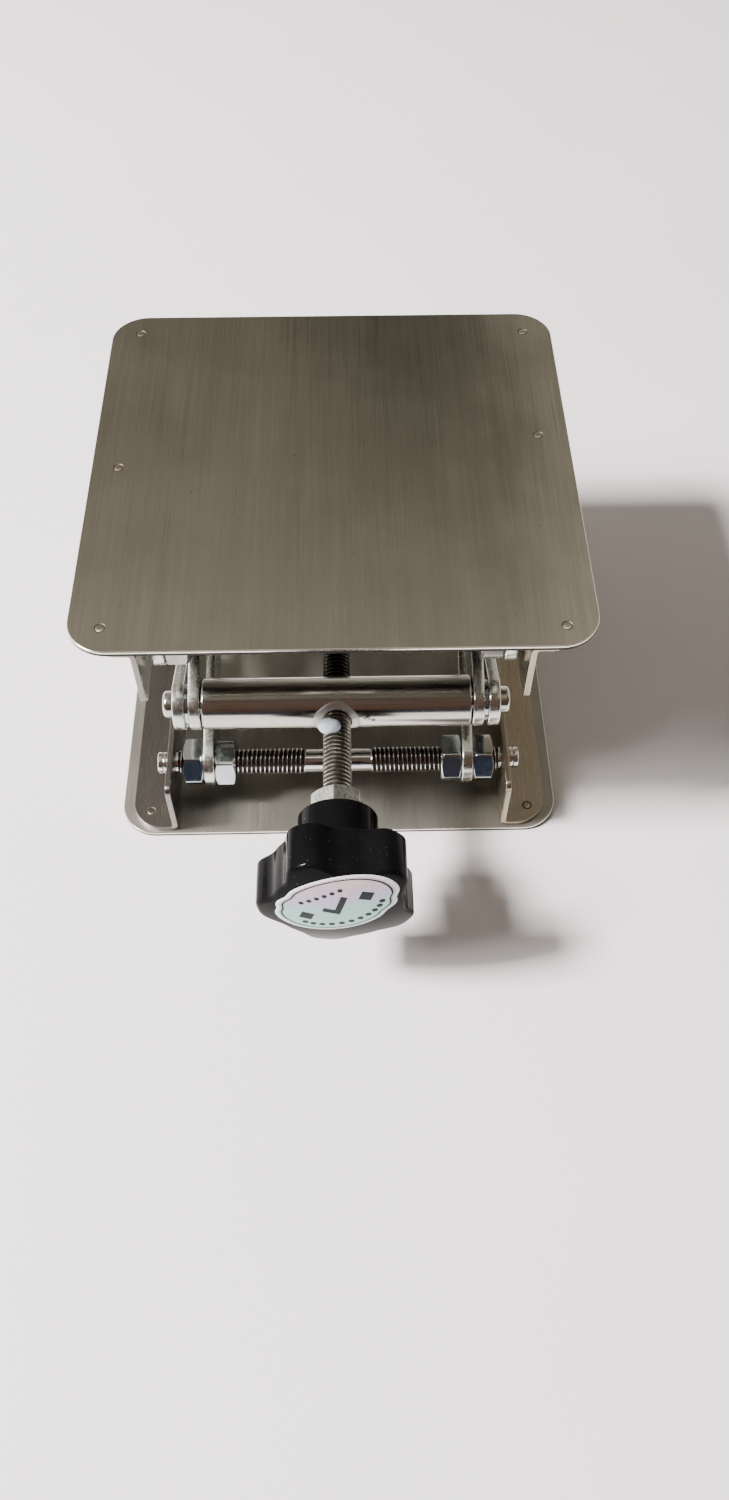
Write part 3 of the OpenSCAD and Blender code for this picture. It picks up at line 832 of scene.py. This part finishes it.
# ---------------------------------------------------------------- lead screw, its nuts
def lead_screw():
    journal_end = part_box("lead_screw")[1].y / MM
    lap = SCREW_SHOULDER - 0.4
    bm = bmesh.new()
    thread = helix(SCREW_FRONT, SCREW_SHOULDER, end_r0=2.3, end_r1=2.5, n=44, dark=(2, 3))
    add_helix(bm, thread, along_y(0, MID_Z))
    close_helix(bm)
    v, f = revolve(rounded([(0, lap), (JOURNAL_R, lap), (JOURNAL_R, journal_end), (0, journal_end)], 0.35))
    add_faces(bm, v, along_y(0, MID_Z), (f, 1))
    ob = finish_mesh(bm, "screw_m6", ["screw", "rod_plain", "screw_root_shade"], 24)
    ride(ob, "screw", "screw_steel", "lead_screw")


lead_screw()

for name, node, t, bore, turn, material in (
    ("hex_screw_end", "screw_end_nut", 3.6, 2.55, 12, "zinc"),
    ("hex_knob_lock", "knob_lock_nut", 5.1, 3.0, 37.5, "galvanised"),
):
    bm = bmesh.new()
    v, f = hex_nut(t, bore, turn)
    add_faces(bm, v, along_y(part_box(node)[0].y / MM, MID_Z), (f, 0))
    ride(finish_mesh(bm, name, [material], 14), "screw", "hardware_zinc", node)


# ---------------------------------------------------------------- knob
def star(r, depth):
    """Star outline with five broad lobes."""
    n = 240
    pts = []
    for i in range(n):
        a = 2 * math.pi * i / n
        c = ((1 + math.cos(5 * (a + math.pi / 2 - math.radians(KNOB_TURN)))) / 2) ** 1.25
        q = r - depth * (1 - c * c * (3 - 2 * c))
        pts.append((q * math.cos(a), q * math.sin(a)))
    return pts


def dome(r):
    """How far the domed front has fallen back at radius r."""
    return DOME_R - math.sqrt(DOME_R**2 - r * r)


def knob():
    outline = star(KNOB_R, LOBE_DEPTH)
    n = len(outline)
    k = KNOB_ROUND
    verts, rings = [], []

    def ring(pts, height):
        rings.append(len(verts))
        verts.extend((x, y, height(math.hypot(x, y))) for x, y in pts)

    ring([(x * 0.45, y * 0.45) for x, y in outline], lambda r: 0.0)
    ring(offset(outline, k + 0.06), lambda r: 0.0)
    for i in range(6):
        a = math.pi / 2 * i / 5
        ring(offset(outline, k * (1 - math.sin(a))), lambda r: k * (1 - math.cos(a)))
    for i in range(8):
        a = math.pi / 2 * i / 7
        ring(offset(outline, k * (1 - math.cos(a))), lambda r: KNOB_LEN - dome(r) - k * (1 - math.sin(a)))
    edge = offset(outline, k)
    for q in (0.992, 0.95, 0.87, 0.78, 0.68, 0.58, 0.48, 0.38, 0.28, 0.18, 0.08):
        ring([(x * q, y * q) for x, y in edge], lambda r: KNOB_LEN - dome(r))
    faces = []
    for a, b in zip(rings, rings[1:]):
        faces += band(a, b, n)
    faces += [tuple(range(start, start + n)) for start in (rings[0], rings[-1])]
    bm = bmesh.new()
    body_back = KNOB_BACK - HUB_LEN
    add_faces(bm, verts, lambda a, b, c: (a, body_back - c, MID_Z + b), (faces, 0))
    # the hub, with a bore for the screw, reaches a little into the star
    bore_r, hub_end = 3.35, HUB_LEN + 0.4
    shell = rounded([(bore_r, 0.0), (HUB_R + 0.03, 0.0), (HUB_R - 0.05, hub_end)], 0.7, 6)
    v, f = revolve([(bore_r - 0.3, hub_end)] + shell, 96)
    add_faces(bm, v, along_y(KNOB_BACK, MID_Z, -1), (f, 0))
    ride(finish_mesh(bm, "star_knob", ["knob"], 30), "screw", "knob_plastic", "knob")


knob()


# ---------------------------------------------------------------- label
def label_place(lift):
    """Label coordinates to the domed front of the knob."""
    ca, sa = math.cos(math.radians(LABEL_TILT)), math.sin(math.radians(LABEL_TILT))

    def place(a, b, c):
        x, z = LABEL_AT[0] + a * ca - b * sa, LABEL_AT[1] + a * sa + b * ca
        return (x, KNOB_FRONT + dome(math.hypot(x, z)) - lift - c, MID_Z + z)

    return place


def oval(scale, n):
    """Label outline times scale: an oval with two pairs of shallow notches."""
    pts = []
    for i in range(n):
        t = 2 * math.pi * i / n
        w = 1.015
        for at, depth, width in ((128, 0.055, 9), (156, 0.045, 8), (308, 0.055, 9), (336, 0.05, 8)):
            d = (math.degrees(t) - at + 180) % 360 - 180
            w -= depth * math.exp(-((d / width) ** 2))
        pts.append((LABEL_HALF[0] * w * scale * math.cos(t), LABEL_HALF[1] * w * scale * math.sin(t)))
    return pts


def label_marks():
    """Generic check mark, two small diamonds and rows of dots."""
    shapes = [[(-0.6, -2.4), (3.4, 2.1), (2.5, 3.0), (-0.6, -0.5), (-2.1, 1.1), (-3.0, 0.1)]]
    for x, y in ((-6.6, -0.4), (6.6, 0.6)):
        shapes.append([(x + 1.7, y), (x, y + 1.7), (x - 1.7, y), (x, y - 1.7)])
    for k in range(11):
        t = math.radians(207 + 12.6 * k)
        shapes.append(circle(9.2 * math.cos(t), 6.1 * math.sin(t), 0.62, 16))
    for k in range(6):
        shapes.append(circle(-5.3 + 1.7 * k, 4.1 + 0.12 * k, 0.5, 16))
    return shapes


def label():
    n = 144
    top, mark_t, mark_lift = 0.10, 0.03, 0.095
    white, shiny, ink = 0, 1, 2
    # (scale, height, material of the band inside this ring)
    steps = [(0.5, 0.01, white), (0.97, 0.01, white), (1.0, 0.03, white), (1.0, 0.08, white)]
    steps += [(0.995, top, white), (0.945, top, shiny), (0.908, top, ink), (0.872, top, shiny)]
    steps += [(q, top, shiny) for q in (0.8, 0.7, 0.6, 0.5, 0.4, 0.3, 0.2, 0.1)]
    verts, faces = [], [[], [], []]
    for q, h, _ in steps:
        verts += [(x, y, h) for x, y in oval(q, n)]
    for k, (_, _, material) in enumerate(steps[:-1]):
        faces[material] += band(k * n, (k + 1) * n, n)
    faces[white].append(tuple(range(n)))
    faces[shiny].append(tuple(range(len(verts) - n, len(verts))))
    bm = bmesh.new()
    add_faces(bm, verts, label_place(0), *zip(faces, (white, shiny, ink)))
    # the marks are cut into a fine grid, so that they bend with the dome
    marks = bmesh.new()
    for c in label_marks():
        add_sheet(marks, sheet(c, [], mark_t, edge=0.004, seg=1), unplaced, ink, ink, ink, ink)
    for normal in ((1, 0, 0), (0, 1, 0)):
        for k in range(-15, 16):
            split(marks, Vector(normal) * (0.8 * k + 0.03), normal)
    for v in marks.verts:
        v.co = Vector(label_place(mark_lift)(*v.co)) * MM
    stamped = bpy.data.meshes.new("label_marks")
    marks.to_mesh(stamped)
    marks.free()
    bm.from_mesh(stamped)
    bpy.data.meshes.remove(stamped)
    ride(finish_mesh(bm, "oval_label", ["white", "foil", "ink"], 40), "screw", "label_foil", "knob_label")


label()


# ---------------------------------------------------------------- the front bar's mouth
def bar_front(z):
    """Y of the front bar's surface at height z over its axis."""
    return FRONT_Y - math.sqrt(max(0.0, BAR_R**2 - z * z))


def collar():
    """Matte drilled rim round the threaded hole, lying on the bar."""
    n = 96
    bore_r, outer_r, widening, lug = 3.12, 4.45, 0.62, 0.125
    # (share of the way from the bore to the outer edge, depth under the bar's surface)
    steps = [(0.0, 0.9), (0.0, 0.35), (0.06, 0.05), (0.25, -0.04), (0.5, -0.10), (0.75, -0.14)]
    steps += [(0.92, -0.10), (1.0, 0.02), (1.0, 0.9)]
    in_shadow = (0, 1, 8)
    verts = []
    for f, depth in steps:
        for i in range(n):
            a = 2 * math.pi * i / n
            ca, sa = math.cos(a), math.sin(a)
            wobble = 0.16 * noise.noise(Vector((2.3 * ca, 2.3 * sa, 4.7)))
            outer = outer_r + widening * ca * ca + wobble + (lug if ca < -0.8 else 0.0)
            r = bore_r + (outer - bore_r) * f
            x, z = r * ca, r * sa
            rough = 0.07 * noise.noise(Vector((x * 1.7, z * 1.7, 1.3))) if 0 < f < 1 else 0.0
            verts.append((x, bar_front(z) + depth + rough, MID_Z + z))
    groups = []
    for k in range(len(steps)):
        faces = band(k * n, (k + 1) % len(steps) * n, n)
        groups.append((faces, 1 if k in in_shadow else 0))
    bm = bmesh.new()
    add_faces(bm, verts, lambda a, b, c: (a, b, c), *groups)
    ride(finish_mesh(bm, "drilled_rim", ["matte", "thread_root_shade"], 50), "front_bar", "bar_steel")


def lump(name, material, subdivisions, shape):
    """A ball whose points shape moves, on the front bar."""
    bm = bmesh.new()
    bmesh.ops.create_icosphere(bm, subdivisions=subdivisions, radius=1.0)
    for v in bm.verts:
        v.co = Vector(shape(v.co.copy())) * MM
    ride(finish_mesh(bm, name, [material], 60), "front_bar", "bar_steel")


def burr(name, x, z, size):
    """A flat crumb of steel beside the hole."""

    def shape(p):
        k = 1 + 0.3 * noise.noise(p * 1.5 + Vector((x, 0, 0)))
        return (x + p.x * size * 1.3 * k, bar_front(z) + p.y * 0.28 * k, MID_Z + z + p.z * size * k)

    lump(name, "matte", 3, shape)


def grease(p):
    """A soft blob on top of the screw, where it enters the bar."""
    k = 1 + 0.16 * noise.noise(p * 1.3 + Vector((3, 1, 7))) + 0.05 * noise.noise(p * 3.1)
    return (p.x * 2.35 * k - 1.5, p.y * 1.8 * k - 45.6, p.z * 1.4 * k + MID_Z + 2.9)


collar()
burr("burr_right", 6.3, 1.2, 0.62)
burr("burr_small", 7.6, 0.7, 0.36)
lump("grease_dab", "grease", 4, grease)

# ---------------------------------------------------------------- CAD nodes that keep their shapes
KEEP = {
    "front_crossbar": "bar",
    "rear_crossbar": "bar",
    "lower_centre_rivets": "arm",
    "upper_centre_rivets": "arm",
    "lower_centre_washers": "zinc",
    "upper_centre_spacers": "zinc",
    "front_bar_washers": "zinc",
    "rear_bar_spacers": "zinc",
    "thrust_washers": "zinc",
}
for node, key in KEEP.items():
    for s in NODES[node].material_slots:
        s.link = "OBJECT"
        s.material = M[key]


# ---------------------------------------------------------------- camera
def camera(at, yaw, pitch, roll, lens):
    """at in metres; yaw from +Y towards +X, pitch downwards and roll in degrees; lens in millimetres."""
    data = bpy.data.cameras.new("camera")
    data.lens = lens
    data.sensor_width = 36.0
    data.sensor_fit = "AUTO"
    data.clip_start = 0.005
    cam = bpy.data.objects.new("camera", data)
    bpy.context.scene.collection.objects.link(cam)
    yaw, pitch, roll = math.radians(yaw), math.radians(pitch), math.radians(roll)
    ahead = Vector((math.sin(yaw) * math.cos(pitch), math.cos(yaw) * math.cos(pitch), -math.sin(pitch)))
    level = Vector((math.cos(yaw), -math.sin(yaw), 0))
    above = level.cross(ahead)
    right = level * math.cos(roll) + above * math.sin(roll)
    up = above * math.cos(roll) - level * math.sin(roll)
    cam.matrix_world = Matrix.Translation(at) @ Matrix((right, up, -ahead)).transposed().to_4x4()
    bpy.context.scene.camera = cam


camera((0.002703, -0.188795, 0.234444), 1.219, 55.384, 0.121, 28.383)


# ---------------------------------------------------------------- floor, light
def floor():
    """A white table, a hair below the base plate."""
    below = -0.00002
    corners = ((-2.5, -1.5), (2.5, -1.5), (2.5, 3.0), (-2.5, 3.0))
    bm = bmesh.new()
    bm.faces.new([bm.verts.new((x, y, below)) for x, y in corners])
    me = bpy.data.meshes.new("table")
    bm.to_mesh(me)
    bm.free()
    ob = bpy.data.objects.new("table", me)
    bpy.context.scene.collection.objects.link(ob)
    mat, nt, bsdf = new_material("table_white")
    n = noise_tex(nt, coords(nt, (0.01, 0.01, 0.01)), 1.0, 3, 0.5)
    col = mix_color(nt, value_map(nt, n, 0.3, 0.7, 0.0, 1.0), (0.84, 0.81, 0.80), (0.87, 0.84, 0.83))
    link(nt, col, bsdf.inputs["Base Color"])
    bsdf.inputs["Roughness"].default_value = 0.42
    bsdf.inputs["Specular IOR Level"].default_value = 0.25
    me.materials.append(mat)


def area(name, at, size, power):
    """A square lamp that faces the jack."""
    target = Vector((0, 0, 0.03))
    data = bpy.data.lights.new(name, "AREA")
    data.shape = "RECTANGLE"
    data.size = size
    data.size_y = size
    data.energy = power
    data.color = (0.985, 0.965, 0.965)
    lamp = bpy.data.objects.new(name, data)
    lamp.location = at
    lamp.rotation_euler = (target - Vector(at)).to_track_quat("-Z", "Y").to_euler()
    bpy.context.scene.collection.objects.link(lamp)


def surroundings():
    """What the metal mirrors: a dim room behind the jack, a dark one in front, and bright panels."""
    world = bpy.data.worlds.new("studio")
    bpy.context.scene.world = world
    world.use_nodes = True
    nt = world.node_tree
    tc = nt.nodes.new("ShaderNodeTexCoord")
    x, y, z = xyz(nt, tc.outputs["Generated"])
    # dim above the horizon, brighter overhead
    back = [
        (0.0, (0.85, 0.80, 0.73)),
        (0.33, (0.60, 0.56, 0.50)),
        (0.46, (0.125, 0.115, 0.095)),
        (0.60, (0.15, 0.138, 0.112)),
        (0.70, (0.27, 0.25, 0.215)),
        (0.80, (0.36, 0.34, 0.305)),
        (1.0, (1.15, 1.06, 0.96)),
    ]
    # dark, bluish at the horizon and reddish above it
    front = [
        (0.0, (0.024, 0.036, 0.068)),
        (0.18, (0.030, 0.038, 0.066)),
        (0.27, (0.11, 0.062, 0.048)),
        (0.60, (0.16, 0.098, 0.076)),
        (0.92, (0.15, 0.11, 0.09)),
        (0.98, (0.35, 0.32, 0.29)),
        (1.0, (0.8, 0.75, 0.69)),
    ]
    env = mix_color(nt, value_map(nt, y, -0.20, 0.20, 0.0, 1.0), ramp(nt, z, front), ramp(nt, z, back))
    # bright panels high on both sides, the left one stronger
    high = value_map(nt, z, 0.20, 0.45, 0.0, 1.0)
    high = math_node(nt, "MULTIPLY", high, value_map(nt, y, -0.25, 0.10, 0.0, 1.0))
    left = math_node(nt, "MULTIPLY", value_map(nt, x, -0.45, -0.70, 0.0, 1.0), high)
    right = math_node(nt, "MULTIPLY", value_map(nt, x, 0.50, 0.75, 0.0, 1.0), high)
    env = mix_color(nt, left, env, (1.30, 1.20, 1.06))
    env = mix_color(nt, right, env, (0.62, 0.59, 0.54))
    # the backdrop itself is a plain pale grey, and matt surfaces get less of the surroundings,
    # so that shadows on the floor keep their depth
    ray = nt.nodes.new("ShaderNodeLightPath")
    env = mix_color(nt, ray.outputs["Is Camera Ray"], env, (0.74, 0.73, 0.72))
    background = nt.nodes["Background"].inputs
    link(nt, env, background["Color"])
    link(nt, value_map(nt, ray.outputs["Is Diffuse Ray"], 0.0, 1.0, 1.0, 0.74), background["Strength"])


floor()
area("key", (-1.00, -0.14, 1.12), 0.24, 77.0)
area("fill", (-1.02, -0.34, 1.00), 0.34, 15.0)
surroundings()
